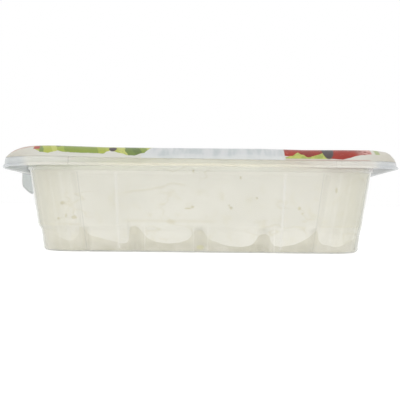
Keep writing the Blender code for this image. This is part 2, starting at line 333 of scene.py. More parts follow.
# nodes that are used again and again: kind and settings
PLUS = ("Math", {"operation": "ADD"})
MINUS = ("Math", {"operation": "SUBTRACT"})
TIMES = ("Math", {"operation": "MULTIPLY"})
OVER = ("Math", {"operation": "DIVIDE"})
TIMES_PLUS = ("Math", {"operation": "MULTIPLY_ADD"})
LARGER = ("Math", {"operation": "MAXIMUM"})
SMALLER = ("Math", {"operation": "MINIMUM"})
POWER = ("Math", {"operation": "POWER"})
ABSOLUTE = ("Math", {"operation": "ABSOLUTE"})
ROOT = ("Math", {"operation": "SQRT"})
BLEND = ("Mix", {"data_type": "RGBA"})
RAMP = ("MapRange", {"interpolation_type": "SMOOTHSTEP"})
WHITE = (1.0, 1.0, 1.0, 1.0)

# real sizes of the patterns that are made of cells: pits, leaves, their veins, the waves that bend their
# rims and how far those reach
PIT_SPACING = 9.52
LEAF_SIZE = 13.33
VEIN_SPACING = 3.57
BEND_SIZE = 11.11
LEAF_BEND = 14.0
# where a mark that only the front has fades in, across the pack
TO_FRONT = (-36.0, -40.0)


def millimetres(add):
    """Object coordinates in millimetres, as a vector and as x, y, z."""
    place = add("TexCoord", {}).node.outputs["Object"]
    scaled = add("VectorMath", {"operation": "SCALE"}, place, 1 / MM)
    return scaled, *add("SeparateXYZ", {}, scaled).node.outputs


def noise_at(add, place, size, detail=2.0, roughness=0.5, offset=(0, 0, 0), stretch=(1, 1, 1)):
    """Noise with features of about `size` millimetres."""
    scale = tuple(part / size for part in stretch)
    moved = add("Mapping", {}, place, Location=offset, Scale=scale)
    return add("TexNoise", {}, moved, Scale=1.0, Detail=detail, Roughness=roughness)


def straightened(add, x, z, lean):
    """Place along a long wall without the wall's taper, so that an upright fold keeps one value."""
    taper = add(*TIMES_PLUS, z, lean, 1 - lean * LEDGE_HEIGHT)
    return add(*ABSOLUTE, add(*OVER, x, taper))


def near_line(add, value, place, width):
    """1 on a line and 0 past its half width."""
    away = add(*ABSOLUTE, add(*MINUS, value, place))
    return add(*RAMP, away, width, 0.0)


def lines(add, value, rows):
    """Sum of several soft lines along a value."""
    total = 0.0
    for place, width, strength in rows:
        total = add(*TIMES_PLUS, near_line(add, value, place, width), strength, total)
    return total


def within(add, value, low, high, soft=0.4):
    """1 between low and high, with soft ends."""
    return add(*TIMES, add(*RAMP, value, low - soft, low + soft),
               add(*RAMP, value, high + soft, high - soft))


def above(add, z, hem):
    """1 above a printed edge, which is a little soft."""
    return add(*RAMP, add(*MINUS, z, hem), -0.06, 0.10)


def spot(add, across, up, middle_across, middle_up, half_width, half_height):
    """Squared distance from the middle of an oval spot, 1 on its edge."""
    off_across = add(*OVER, add(*MINUS, across, middle_across), half_width)
    off_up = add(*OVER, add(*MINUS, up, middle_up), half_height)
    return add(*TIMES_PLUS, off_across, off_across, add(*TIMES, off_up, off_up))


def height_line(add, x, rows, low=36.0, high=48.0):
    """Height between low and high given by a table of (place, height), as a curve node over x."""
    left, right = rows[0][0], rows[-1][0]
    share = add(*OVER, add(*MINUS, x, left), right - left)
    curve = add("FloatCurve", {}, Value=share)
    points = curve.node.mapping.curves[0].points
    while len(points) < len(rows):
        points.new(0.5, 0.5)
    for point, (place, height) in zip(points, rows):
        point.location = ((place - left) / (right - left), (height - low) / (high - low))
        point.handle_type = "VECTOR"
    curve.node.mapping.update()
    return add(*TIMES_PLUS, curve, high - low, low)


# painted highlights: extra gloss along upright folds of the long walls: place along the wall, half width,
# strength
WALL_SHINES = [(56.2, 1.4, 0.07), (60.8, 1.0, 0.05), (67.0, 0.8, 0.05)]
# painted shade: darker lines of milky sheet at the panel edges, where the sheet is folded twice
WALL_EDGE_SHADE = [(49.6, 0.45, 0.15)]
# painted highlights: extra gloss in lines beside the ribs of the front foot band
FOOT_SHINES = [(-23.5, 0.5, 0.10), (-2.7, 0.4, 0.10), (3.4, 0.4, 0.10), (31.8, 0.6, 0.10)]
# creases in the lip, left and right: a strength below 0 makes the sheet clearer there
LIP_CREASES = [(-54.4, 0.35, -0.14), (55.8, 0.30, -0.09), (58.0, 0.35, -0.07)]


def make_tray_look():
    """Thermoformed polypropylene, 0.4 mm: clear but milky, so what touches it shows soft, and light that
    gets into the sheet comes out of it again. Stretched corners are whiter; extra gloss paints highlights
    on the folds."""
    look, add = new_material("thermoformed_polypropylene")
    place, x, y, z = millimetres(add)

    # where on the tray: the lip, the two ends, the wall and the foot band
    sideways = add(*ABSOLUTE, x)
    endways = add(*ABSOLUTE, y)
    out_x = add(*LARGER, add(*MINUS, sideways, HALF_LENGTH - LIP_RADIUS), 0.0)
    out_y = add(*LARGER, add(*MINUS, endways, HALF_DEPTH - LIP_RADIUS), 0.0)
    out = add(*ROOT, add(*TIMES_PLUS, out_x, out_x, add(*TIMES, out_y, out_y)))
    in_lip = add(*TIMES, add(*RAMP, z, 34.9, 35.6), add(*RAMP, z, 41.4, 40.4))
    in_lip = add(*TIMES, add(*RAMP, out, LIP_RADIUS - 5.0, LIP_RADIUS - 3.0), in_lip)
    in_wall = add(*TIMES, add(*RAMP, z, 34.6, 33.4), add(*RAMP, z, 1.0, 2.4))
    in_foot = add(*RAMP, z, 11.4, 10.6)
    to_end = add(*RAMP, sideways, 22.0, 62.0)
    along = straightened(add, x, z, 0.0024)
    far = add(*RAMP, along, 66.5, 71.0)

    # how milky: the lip most, then the corners, and any surface seen at a slant
    end_milk = add(*TIMES_PLUS, to_end, 0.12, 0.34)
    end_milk = add(*TIMES_PLUS, within(add, x, 44.0, 61.0, 4.0), 0.10, end_milk)
    solid = add(*TIMES_PLUS, noise_at(add, place, 9.0), 0.08, add(*TIMES, in_lip, end_milk))
    edge = add("LayerWeight", {}, 0.5).node.outputs["Facing"]
    solid = add(*TIMES_PLUS, add(*POWER, edge, 3.0), 0.85, solid)
    # painted shade: more milk along the panel edges makes darker lines
    solid = add(*TIMES_PLUS, lines(add, along, WALL_EDGE_SHADE), in_wall, solid)
    solid = add(*TIMES_PLUS, lines(add, x, LIP_CREASES), in_lip, solid)
    corner = add(*TIMES, far, add(*RAMP, endways, 18.0, 34.0))
    solid = add(*TIMES_PLUS, add(*TIMES, corner, in_wall), 0.40, solid)
    tint = add(*BLEND, to_end, colour("f3f0e2"), colour("eeede7"))
    tint = add(*BLEND, far, tint, colour("dcdfe1"))
    tint = add(*BLEND, in_lip, colour("e0e2e0"), tint)
    plastic = add("BsdfPrincipled", {}, Base_Color=tint, Roughness=0.30, IOR=1.49)
    milky = add("MixShader", {}, 0.45, plastic, add("BsdfTranslucent", {}, tint))
    clear = add("BsdfTransparent", {}, WHITE)
    sheet = add("MixShader", {}, add(*SMALLER, solid, 0.92), clear, milky)

    # how glossy: more at a slant and less on the lip; extra gloss on the bead and along the folds is
    # painted highlight
    bead = near_line(add, straightened(add, x, z, 0.0012), CREASE_PLACE, 1.2)
    mirror = add(*TIMES_PLUS, add(*POWER, edge, 5.0), 0.45, 0.04)
    mirror = add(*TIMES, mirror, add(*TIMES_PLUS, in_lip, -0.6, 1.0))
    shines = add(*TIMES_PLUS, bead, 0.13, lines(add, along, WALL_SHINES))
    mirror = add(*TIMES_PLUS, shines, in_wall, mirror)
    mirror = add(*TIMES_PLUS, lines(add, x, FOOT_SHINES), in_foot, mirror)
    gloss = add("BsdfGlossy", {}, WHITE, Roughness=0.16)
    add("OutputMaterial", {}, add("MixShader", {}, mirror, sheet, gloss))
    return look


# a faint seam in the curd of the front: place along the pack, height
CURD_SEAM = [(-34.0, 25.5), (-23.7, 26.6), (-15.7, 28.0), (-11.9, 29.7), (-6.8, 28.9), (-4.0, 28.0)]
# pits in the front: place, height, half width, half height
FRONT_PITS = [
    (-58.4, 20.9, 1.0, 0.8), (-60.3, 14.3, 0.7, 0.5), (-56.9, 15.4, 0.6, 1.0), (-53.4, 14.8, 1.5, 0.9),
    (-3.0, 34.8, 0.6, 0.8), (-3.2, 19.6, 0.9, 0.6), (-5.2, 19.0, 1.6, 0.4), (13.1, 19.4, 0.8, 0.8),
    (17.0, 32.2, 0.5, 0.8), (24.0, 23.6, 0.6, 0.6), (42.2, 19.4, 0.7, 0.9), (43.4, 17.2, 0.6, 0.5),
    (57.6, 27.2, 0.5, 1.3), (12.2, 20.4, 0.5, 0.5),
]


def curd_seams_and_ledge_shade(add, place, x, z, mottle):
    """Seams where grains of curd joined and a fold of the front; painted shade in lines along the ledge.
    """
    seam = noise_at(add, place, 19.0, offset=(1, 4, 6), stretch=(1, 1, 2.2))
    seam = add(*RAMP, add(*ABSOLUTE, add(*MINUS, seam, 0.5)), 0.020, 0.0)
    open_here = add(*RAMP, noise_at(add, place, 21.0, 1.0, offset=(8, 2, 5)), 0.50, 0.62)
    seams_and_ledge_shade = add(*TIMES, add(*TIMES, seam, open_here), 0.35)
    fold = add(*MINUS, z, height_line(add, x, CURD_SEAM, 20.0, 32.0))
    fold = add(*PLUS, fold, add(*TIMES_PLUS, mottle, 2.0, -1.0))
    fold = add(*TIMES, near_line(add, fold, 0.0, 0.9), within(add, x, -32.0, -6.5, 1.5))
    seams_and_ledge_shade = add(*TIMES_PLUS, fold, 0.30, seams_and_ledge_shade)
    # painted shade: a darker line just above the ledge across the front
    fold = near_line(add, add(*PLUS, z, mottle), 14.0, 1.2)
    fold = add(*TIMES, fold, within(add, x, -32.0, 7.0, 2.0))
    seams_and_ledge_shade = add(*TIMES_PLUS, fold, 0.25, seams_and_ledge_shade)
    # painted shade: a darker line along the ledge at the corners
    ledge = add(*TIMES, add(*RAMP, add(*ABSOLUTE, x), 49.0, 53.0), mottle)
    ledge = add(*TIMES, near_line(add, z, 11.8, 0.7), ledge)
    return add(*TIMES_PLUS, ledge, 0.55, seams_and_ledge_shade)


def curd_pits(add, place, x, y, z, grain):
    """Pits scattered over the back and the ends, and those of FRONT_PITS with ragged edges."""
    cell = add("TexVoronoi", {"feature": "F1"}, place, Scale=1 / PIT_SPACING)
    pit = add(*TIMES, add(*RAMP, cell, 0.085, 0.03), add(*RAMP, y, -36.0, -30.0))
    in_front = add(*RAMP, y, *TO_FRONT)
    for row in FRONT_PITS:
        ragged = add(*TIMES_PLUS, grain, 1.6, add(*MINUS, spot(add, x, z, *row), 0.8))
        hollow = add(*TIMES, add(*RAMP, ragged, 1.0, 0.3), in_front)
        pit = add(*LARGER, pit, add(*TIMES, hollow, 0.75))
    return pit


def make_cheese_look():
    """Fresh curd, pressed and unripened: cream white and close-textured, moist, with faint seams where
    the grains of curd joined and a few small pits."""
    look, add = new_material("fresh_pressed_curd")
    place, x, y, z = millimetres(add)
    broad = noise_at(add, place, 26.0, 3.0)
    mottle = noise_at(add, place, 4.5, 4.0, 0.6, offset=(3, 9, 2))
    grain = noise_at(add, place, 1.1, 3.0, 0.6)
    base = add(*BLEND, add(*RAMP, broad, 0.35, 0.70), colour("d4d2c8"), colour("cfcdc2"))
    warm = add(*TIMES, add(*RAMP, mottle, 0.52, 0.72), 0.5)
    base = add(*BLEND, warm, base, colour("cbc7b3"))
    # paler towards the top: painted light against the shade of the flange
    base = add(*BLEND, add(*RAMP, z, 22.0, 35.0), base, colour("d9d7cd"))

    # darker in the corners and paler in the lobes of the foot; paler above the shoulder: painted light
    # where the flange shades it
    corner = add(*TIMES, add(*RAMP, add(*ABSOLUTE, x), 48.0, 68.0),
                 add(*RAMP, add(*ABSOLUTE, y), 18.0, 32.0))
    base = add(*BLEND, add(*TIMES, corner, 0.6), base, colour("c3c0ad"))
    base = add(*BLEND, add(*RAMP, z, 34.3, 35.6), base, colour("ebe9dd"))
    foot = add(*TIMES_PLUS, within(add, x, 18.0, 50.0, 6.0), 0.24, 0.14)
    blotch = add(*TIMES, add(*RAMP, x, 50.0, 53.0), add(*RAMP, mottle, 0.40, 0.62))
    foot = add(*TIMES_PLUS, blotch, 0.26, foot)
    foot = add(*TIMES, foot, add(*RAMP, z, 13.5, 9.5))
    base = add(*BLEND, foot, base, colour("e2e0d7"))

    # the seams and the painted ledge shade: darker, and lower in the bump
    seams_and_ledge_shade = curd_seams_and_ledge_shade(add, place, x, z, mottle)
    base = add(*BLEND, seams_and_ledge_shade, base, colour("c4bea4"))
    pit = curd_pits(add, place, x, y, z, grain)
    base = add(*BLEND, add(*TIMES, pit, 0.75), base, colour("bbb391"))
    low = add(*TIMES_PLUS, seams_and_ledge_shade, 0.8, pit)
    height = add(*MINUS, add(*TIMES, grain, 0.25), low)
    bump = add("Bump", {}, Strength=0.5, Distance=0.4 * MM, Height=height)
    curd = add("BsdfPrincipled", {}, Base_Color=base, Roughness=0.42, IOR=1.38, Normal=bump)
    add("OutputMaterial", {}, curd)
    return look


# a yellow fleck in the whey of the front: place, height, half width, half height
WHEY_FLECK = (0.2, 2.3, 1.9, 1.1)


def make_whey_look():
    """Whey: a cloudy yellow-grey liquid, darker than the curd that it wets."""
    look, add = new_material("cloudy_whey")
    place, x, y, z = millimetres(add)
    cloud = add(*RAMP, noise_at(add, place, 7.0, 3.0), 0.38, 0.66)
    tint = add(*BLEND, cloud, colour("c8c5b8"), colour("bdbaaa"))
    fleck = add(*RAMP, spot(add, x, z, *WHEY_FLECK), 1.2, 0.3)
    fleck = add(*TIMES, fleck, add(*RAMP, y, *TO_FRONT))
    tint = add(*BLEND, add(*TIMES, fleck, 0.4), tint, colour("c9c684"))
    # painted light: paler higher up, lifting the shade under the ribs and the ledge
    thin = add(*TIMES, add(*RAMP, z, 3.0, 5.5), 0.7)
    tint = add(*BLEND, thin, tint, colour("cfccbd"))
    left = add(*TIMES, add(*RAMP, x, -48.0, -56.0), 0.35)
    tint = add(*BLEND, left, tint, colour("d0cdbf"))
    add("OutputMaterial", {}, add("BsdfPrincipled", {}, Base_Color=tint, Roughness=0.25, IOR=1.34))
    return look


# The print, in millimetres. Lower edges of its green and red fields: place along the pack, height on the
# film's sloping edge.
GREEN_HEM = [
    (-72.0, 45.2), (-70.4, 44.5), (-69.5, 43.5), (-68.3, 42.7), (-66.7, 42.0), (-65.0, 41.7),
    (-62.9, 41.5), (-60.8, 42.1), (-59.2, 42.6), (-57.1, 41.8), (-47.2, 41.5), (-40.2, 41.3),
    (-39.1, 42.1), (-37.7, 42.7), (-34.8, 42.1), (-30.7, 40.8), (-27.4, 40.7), (-23.4, 41.9),
    (-21.0, 44.0), (-17.5, 44.8),
]
RED_HEM = [
    (34.0, 41.3), (36.0, 41.0), (44.0, 40.3), (50.7, 40.2), (56.0, 39.9), (58.6, 39.8), (61.1, 40.4),
    (64.0, 41.3), (67.1, 41.9), (71.5, 42.3), (74.0, 42.6),
]
# top edge of the sliver of leaf under the red field
SLIVER_TOP = [
    (34.4, 40.2), (35.0, 40.7), (37.9, 41.2), (40.4, 42.8), (41.4, 41.9), (42.5, 41.6), (44.1, 40.6),
    (46.6, 41.1), (48.7, 41.9), (50.7, 42.5), (52.5, 43.2), (54.0, 42.0),
]
# a thin red streak at the left end
RED_STREAK = [(-83.0, 40.8), (-80.0, 42.3), (-76.7, 43.7), (-71.5, 44.5), (-68.0, 44.7)]
# fields of green from left to right: where each begins along the pack, and its colour
GREENS = [
    (-80.0, "b1b955"), (-68.4, "829653"), (-66.6, "b1b955"), (-63.0, "c3c770"), (-60.6, "a3b14d"),
    (-57.0, "8d9e43"), (-43.4, "abb54a"), (-39.6, "b6bd55"), (-34.6, "c3c770"), (-31.8, "738641"),
    (-28.6, "677b3d"), (-26.0, "8a9d47"), (-22.4, "c0c56a"),
]
# olives: middle along and across the pack, half length, half width
OLIVES = [
    (-59.6, -50.5, 0.9, 1.6), (-36.6, -52.8, 1.6, 2.2), (52.9, -52.2, 2.4, 5.6), (-52.0, 30.0, 5.5, 4.0),
    (-40.0, -12.0, 5.0, 4.2), (58.0, 20.0, 5.2, 4.4), (48.0, -20.0, 4.6, 5.0), (-60.0, 2.0, 4.4, 5.0),
]


def front_greens(add, place):
    """The fields of GREENS side by side, each with a hard edge; the last is up to 20 mm wide."""
    left, right = GREENS[0][0], GREENS[-1][0] + 20.0
    greens = add("ValToRGB", {}, add(*OVER, add(*MINUS, place, left), right - left))
    greens.node.color_ramp.interpolation = "CONSTANT"
    steps = greens.node.color_ramp.elements
    while len(steps) < len(GREENS):
        steps.new(1.0)
    for step, (start, shade) in zip(steps, GREENS):
        step.position = (start - left) / (right - left)
        step.color = colour(shade)
    return greens


def middle_print(add, place, z, wander):
    """The middle field: soft grey streaks, paler at its foot."""
    streaks = noise_at(add, place, 4.2, 2.0, 0.55, offset=(2, 0, 0), stretch=(1, 0.16, 0.4))
    streaks = add(*RAMP, streaks, 0.40, 0.64)
    field = add(*BLEND, streaks, colour("d6d7d8"), colour("c3c8c9"))
    below = add(*MINUS, add(*TIMES_PLUS, wander, 4.0, 39.0), z)
    below = add(*TIMES, add(*RAMP, below, -0.6, 0.6), 0.6)
    return add(*BLEND, below, field, colour("dcdddd"))


def leaf_print(add, place, x, y, wander):
    """Salad leaves: GREENS at the front edge, and further in whole leaves with hollows, a network of
    veins and dark rims, all under a fine speckle."""
    # the fields lean across the pack, and are in the places of GREENS at its front edge
    lean = add(*TIMES_PLUS, y, 0.32, add(*TIMES_PLUS, wander, 5.0, x))
    front = front_greens(add, add(*PLUS, lean, 14.2))
    warp = add("TexNoise", {}, place, Scale=1 / BEND_SIZE).node.outputs["Color"]
    bent = add("VectorMath", {"operation": "MULTIPLY_ADD"}, warp, (LEAF_BEND,) * 3, place)
    leaf = add("TexVoronoi", {"feature": "F1"}, bent, Scale=1 / LEAF_SIZE)
    rim = add("TexVoronoi", {"feature": "DISTANCE_TO_EDGE"}, bent, Scale=1 / LEAF_SIZE)
    vein = add("TexVoronoi", {"feature": "DISTANCE_TO_EDGE"}, bent, Scale=1 / VEIN_SPACING)
    tone = add("SeparateColor", {}, leaf.node.outputs["Color"])
    green = add(*BLEND, add(*RAMP, tone, 0.25, 0.45), colour("6f9157"), colour("94a65a"))
    shades = [
        # value, where the colour starts and is full, share, colour
        (tone, 0.5, 0.75, 1.0, "aab85f"),
        (leaf, 0.20, 0.85, 0.55, "56783f"),
        (vein, 0.07, 0.0, 0.45, "bcc777"),
        (rim, 0.10, 0.05, 1.0, "b4c064"),
        (rim, 0.035, 0.0, 0.8, "3f5c33"),
    ]
    for value, start, full, share, shade in shades:
        weight = add(*TIMES, add(*RAMP, value, start, full), share)
        green = add(*BLEND, weight, green, colour(shade))
    edge = add(*PLUS, y, add(*TIMES_PLUS, wander, 22.0, -11.0))
    green = add(*BLEND, add(*RAMP, edge, -42.0, -40.5), front, green)
    speckle = add(*TIMES, add(*RAMP, noise_at(add, place, 0.8), 0.55, 0.62),
                  add(*RAMP, wander, 0.45, 0.6))
    return add(*BLEND, add(*TIMES, speckle, 0.5), green, colour("6f8f50"))


def tomato_print(add, x, wander, small):
    """Tomato flesh: deep red with paler flecks, bleached towards the right end."""
    flesh = add(*BLEND, add(*RAMP, wander, 0.42, 0.66), colour("a8321f"), colour("8c3024"))
    flesh = add(*BLEND, within(add, x, 56.0, 63.0, 2.0), flesh, colour("9c2b1d"))
    flecks = add(*TIMES, add(*RAMP, small, 0.60, 0.70), 0.35)
    flesh = add(*BLEND, flecks, flesh, colour("c4766c"))
    pale = add(*TIMES, add(*RAMP, x, 63.5, 69.0), add(*RAMP, small, 0.30, 0.50))
    return add(*BLEND, add(*TIMES, pale, 0.8), flesh, colour("d9a8a0"))


def small_marks(add, base, x, z):
    """A red mark and a streak on the left, a thin line under the tomato and a green mark on the right."""
    red = add(*TIMES, within(add, x, -69.9, -67.2, 0.3), within(add, z, 43.2, 44.6, 0.2))
    streak = near_line(add, add(*MINUS, z, height_line(add, x, RED_STREAK)), 0.0, 0.5)
    streak = add(*TIMES, streak, within(add, x, -80.5, -69.0, 0.6))
    hair = add(*TIMES, within(add, z, 38.9, 39.7, 0.08), within(add, x, 35.0, 70.0, 1.0))
    green = add(*TIMES, within(add, x, 73.0, 75.2, 0.4), above(add, z, 42.2))
    marks = [(red, 1.0, "b0403c"), (streak, 0.6, "c07068"), (hair, 0.5, "bd8f86"), (green, 0.8, "9aaa5e")]
    for mark, share, shade in marks:
        base = add(*BLEND, add(*TIMES, mark, share), base, colour(shade))
    return base


def film_shader(add, base, through):
    """Smooth glossy film that lets a share of the light through."""
    shade = add("BsdfPrincipled", {}, Base_Color=base, Roughness=0.32, IOR=1.45)
    glow = add("BsdfTranslucent", {}, base)
    add("OutputMaterial", {}, add("MixShader", {}, through, shade, glow))


def make_film_look():
    """Lidding film, printed from behind: a plain pale ground with fields of salad green, soft grey
    streaks and tomato red, under a smooth wide gloss. The pull tab is plain."""
    look, add = new_material("printed_lidding_film")
    place, x, y, z = millimetres(add)
    wander = noise_at(add, place, 9.0, 3.0)
    small = noise_at(add, place, 2.4, 3.0, 0.6, offset=(5, 5, 0))
    ends = add(*RAMP, add(*ABSOLUTE, x), 62.0, 80.0)
    base = add(*BLEND, ends, colour("d8d6cf"), colour("cfcabd"))
    base = add(*BLEND, within(add, x, -24.5, 34.6, 0.3), base, middle_print(add, place, z, wander))
    hem = add(*TIMES_PLUS, small, 0.9, height_line(add, x, GREEN_HEM))
    green = add(*TIMES, above(add, z, add(*MINUS, hem, 0.45)), within(add, x, -71.0, -19.0, 0.3))
    base = add(*BLEND, green, base, leaf_print(add, place, x, y, wander))
    hem = add(*TIMES_PLUS, small, 0.5, height_line(add, x, RED_HEM))
    red = add(*TIMES, above(add, z, add(*MINUS, hem, 0.25)), within(add, x, 34.7, 71.4, 0.2))
    base = add(*BLEND, red, base, tomato_print(add, x, wander, small))

    # a jagged sliver of leaf under the tomato
    top = add(*TIMES_PLUS, small, 0.8, height_line(add, x, SLIVER_TOP))
    sliver = add(*TIMES, above(add, add(*MINUS, top, 0.4), z), above(add, z, 39.95))
    sliver = add(*TIMES, sliver, within(add, x, 35.0, 53.6, 0.3))
    sliver = add(*TIMES, sliver, add(*RAMP, y, -44.0, -48.0))
    leaf = add(*BLEND, add(*RAMP, small, 0.4, 0.6), colour("a3b058"), colour("c0c56a"))
    base = small_marks(add, add(*BLEND, sliver, base, leaf), x, z)
    for row in OLIVES:
        inside = add(*RAMP, spot(add, x, y, *row), 1.15, 0.85)
        base = add(*BLEND, inside, base, colour("53494a"))
    tab = add(*RAMP, z, 39.0, 38.2)
    base = add(*BLEND, tab, base, colour("e3e1de"))
    film_shader(add, base, add(*TIMES_PLUS, tab, 0.32, 0.28))
    return look


def make_reverse_look():
    """The unprinted reverse of the lidding film: a cool pale grey."""
    look, add = new_material("lidding_film_reverse")
    film_shader(add, colour("eef4f6"), 0.9)
    return look


# -------------------- the pieces
# The flange isn't quite level: distance from the middle along the pack, and lift.
RIM_WARP = [(-85.0, 0.5), (-64.0, 0.9), (-41.0, 0.35), (0.0, 0.2), (59.0, -0.1), (85.0, 0.1)]
# lift of the lip under it: along the front, and at the two ends by distance back from the middle
FRONT_LIP_LIFT = 0.95
LEFT_LIP_LIFT = [(-53.0, 0.6), (-38.0, -0.2), (4.0, -0.9), (53.0, -1.2)]
RIGHT_LIP_LIFT = [(-53.0, 0.9), (-35.0, 0.95), (0.0, 0.15), (23.0, -0.45), (53.0, -0.9)]
# the lip and the sloping flange: inset, height, radius
RIM = [
    (0.25, LIP_HEIGHT + 1.05, LIP_RADIUS - 0.2),
    (0.0, LIP_HEIGHT + 0.75, LIP_RADIUS),
    (0.05, LIP_HEIGHT + 0.40, LIP_RADIUS),
    (0.35, LIP_HEIGHT + 0.2, LIP_RADIUS - 0.2),
    (0.65, LIP_HEIGHT + 0.45, LIP_RADIUS - 0.4),
    (0.75, LIP_HEIGHT + 1.1, LIP_RADIUS - 0.5),
    (0.85, RIM_HEIGHT - 1.2, LIP_RADIUS - 0.6),
    (0.92, RIM_HEIGHT - 0.4, LIP_RADIUS - 0.6),
    (1.1, RIM_HEIGHT - 0.15, LIP_RADIUS - 0.7),
    (1.6, RIM_HEIGHT - 0.05, LIP_RADIUS - 1.0),
    (3.4, RIM_HEIGHT + 0.7, LIP_RADIUS - 2.2),
    (7.0, RIDGE_HEIGHT - 0.9, BODY_RADIUS + 1.8),
    (8.1, RIDGE_HEIGHT - 0.35, BODY_RADIUS + 1.2),
    (9.0, RIDGE_HEIGHT - 0.35, BODY_RADIUS + 0.8),
    (9.5, RIDGE_HEIGHT - 0.9, BODY_RADIUS + 0.5),
]


def between(rows, place):
    """Value at a place, read between the rows of a table."""
    if place <= rows[0][0]:
        return rows[0][1]
    for (left, low), (right, high) in zip(rows, rows[1:]):
        if place <= right:
            return low + (high - low) * (place - left) / (right - left)
    return rows[-1][1]


def flange_lift(x, y, height):
    """How far the flange stands above its drawn height."""
    upper = smooth((height - LIP_HEIGHT - 0.3) / 3.0)
    front = FRONT_LIP_LIFT * smooth((-y - 40.0) / 14.0)
    end = between(RIGHT_LIP_LIFT if x > 0 else LEFT_LIP_LIFT, y)
    lip = front + (end - front) * smooth((abs(x) - 60.0) / 18.0)
    return between(RIM_WARP, x) * upper + lip * (1 - upper)


def make_tray():
    """One sheet from the rolled lip over the flange and down the wall to the middle of the floor."""
    places = stations(0.9, 28)
    mesh = bmesh.new()
    ring = None
    for inset, height, radius in RIM:
        plan = outline(places, inset, radius)
        points = [(x, y, height + flange_lift(x, y, height)) for x, y in plan]
        ring = next_ring(mesh, ring, points)
    for height, *section in reversed(WALL):
        ring = next_ring(mesh, ring, at_heights(outline(places, *section), height))
    height, inset, radius = WALL[0][:3]

    def floor_points(share):
        plan = outline(places, inset + 26 * share, radius - radius * 0.9 * share)
        return at_heights(plan, height)

    fill_disc(mesh, ring, floor_points, (0.06, 0.5, 1.0))
    tray = finish(mesh, "clear_tray", [make_tray_look()], SHEET)
    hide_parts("tray")
    return tray


# The cheese's lower edge along the front wall and round its two corners, from left to right: distance
# from the middle along the wall, and height. Whey stands in the dips between the lobes.
FRONT_EDGE = [
    (-78.2, 10.0), (-72.0, 10.2), (-67.5, 9.9), (-64.8, 8.8), (-61.2, 6.5), (-57.5, 4.9), (-55.3, 4.7),
    (-53.2, 5.6), (-51.6, 7.4), (-50.8, 9.6), (-50.1, 10.8), (-49.4, 10.8), (-48.8, 9.9), (-48.1, 8.0),
    (-46.2, 6.9), (-39.0, 5.1), (-33.9, 3.7), (-31.7, 3.8), (-30.4, 5.1), (-29.9, 7.2), (-29.6, 9.8),
    (-28.9, 11.0), (-27.7, 11.3), (-26.4, 11.3), (-25.4, 10.4), (-24.5, 8.8), (-23.3, 7.1), (-21.8, 5.8),
    (-19.2, 4.6), (-13.4, 3.8), (-8.3, 4.4), (-5.5, 5.4), (-3.9, 6.8), (-3.0, 8.4), (-2.3, 9.4),
    (-1.2, 9.8), (0.9, 9.8), (1.7, 9.2), (2.5, 7.8), (3.4, 6.3), (4.9, 5.4), (7.2, 4.7), (9.8, 3.6),
    (13.4, 2.9), (17.9, 2.7), (21.4, 3.1), (23.2, 4.4), (24.2, 6.1), (25.0, 7.5), (26.0, 8.1),
    (27.2, 8.3), (29.0, 8.1), (30.1, 6.7), (30.6, 4.6), (32.0, 3.3), (35.0, 2.8), (40.3, 3.8),
    (44.4, 5.7), (47.0, 7.5), (48.3, 9.1), (49.0, 10.1), (49.5, 9.8), (50.1, 7.8), (50.9, 5.4),
    (52.7, 4.1), (55.5, 3.4), (57.6, 2.9), (59.5, 3.2), (62.4, 4.5), (66.0, 5.7), (70.0, 7.2),
    (78.2, 10.0),
]
# half the front's straight stretch, and the way round a corner, on the scale of FRONT_EDGE
FOOT_STRAIGHT = 53.85
CORNER_LENGTH = 24.35
# the other sides: a place along the foot for the same place along the ledge, and the edge's usual height
FOOT_SCALE = 0.955
EDGE_HEIGHT = 10.0


def lobe_height(place, lobe):
    """Height of one lobe's edge: two rounded quarters, each with its own power, that meet at the foot."""
    left, low, right, left_top, foot, right_top, left_power, right_power = lobe
    if place < low:
        share, top, power = (low - place) / (low - left), left_top, left_power
    else:
        share, top, power = (place - low) / (right - low), right_top, right_power
    share = min(1.0, share)
    return foot + (top - foot) * (1 - (1 - share ** power) ** (1 / power))


def side_lobes(side):
    """Lobes between the ribs of the other three sides: like the front's, each a little different."""
    draw = random.Random(40 + side)
    gap = 2.4
    rows = []
    middles = [rib[0] * FOOT_SCALE for rib in ribs(side)]
    for left, right in zip(middles, middles[1:]):
        low = left + (right - left) * draw.uniform(0.35, 0.65)
        rows.append((left + gap, low, right - gap, draw.uniform(8.6, 11.0), draw.uniform(2.8, 4.2),
                     draw.uniform(8.6, 11.0), draw.uniform(1.5, 2.2), draw.uniform(1.5, 2.2)))
    return rows


LOBES = {side: side_lobes(side) for side in (RIGHT, BACK, LEFT)}


def contact_height(kind, side, value):
    """Height at which the cheese leaves the wall."""
    if kind == "side" and side == FRONT:
        return between(FRONT_EDGE, value * FOOT_STRAIGHT / level_straight(FRONT))
    if kind == "corner" and side == FRONT:
        return between(FRONT_EDGE, FOOT_STRAIGHT + CORNER_LENGTH * value)
    if kind == "corner" and side == LEFT:
        return between(FRONT_EDGE, CORNER_LENGTH * (value - 1) - FOOT_STRAIGHT)
    if kind == "corner":
        foot = 3.9 + 0.7 * noise.noise(Vector((value * 9.0, side * 7.0, 3.0)))
        return EDGE_HEIGHT + (foot - EDGE_HEIGHT) * math.sin(math.pi * value) ** 0.45
    place = value * FOOT_SCALE
    for lobe in LOBES[side]:
        if lobe[0] <= place <= lobe[2]:
            return lobe_height(place, lobe)
    ends = [(lobe[0], lobe[3]) for lobe in LOBES[side]] + [(lobe[2], lobe[5]) for lobe in LOBES[side]]
    near = min(ends, key=lambda end: abs(end[0] - place))
    return near[1] + 0.5 if abs(place) < max(abs(end[0]) for end in ends) + 1.6 else EDGE_HEIGHT


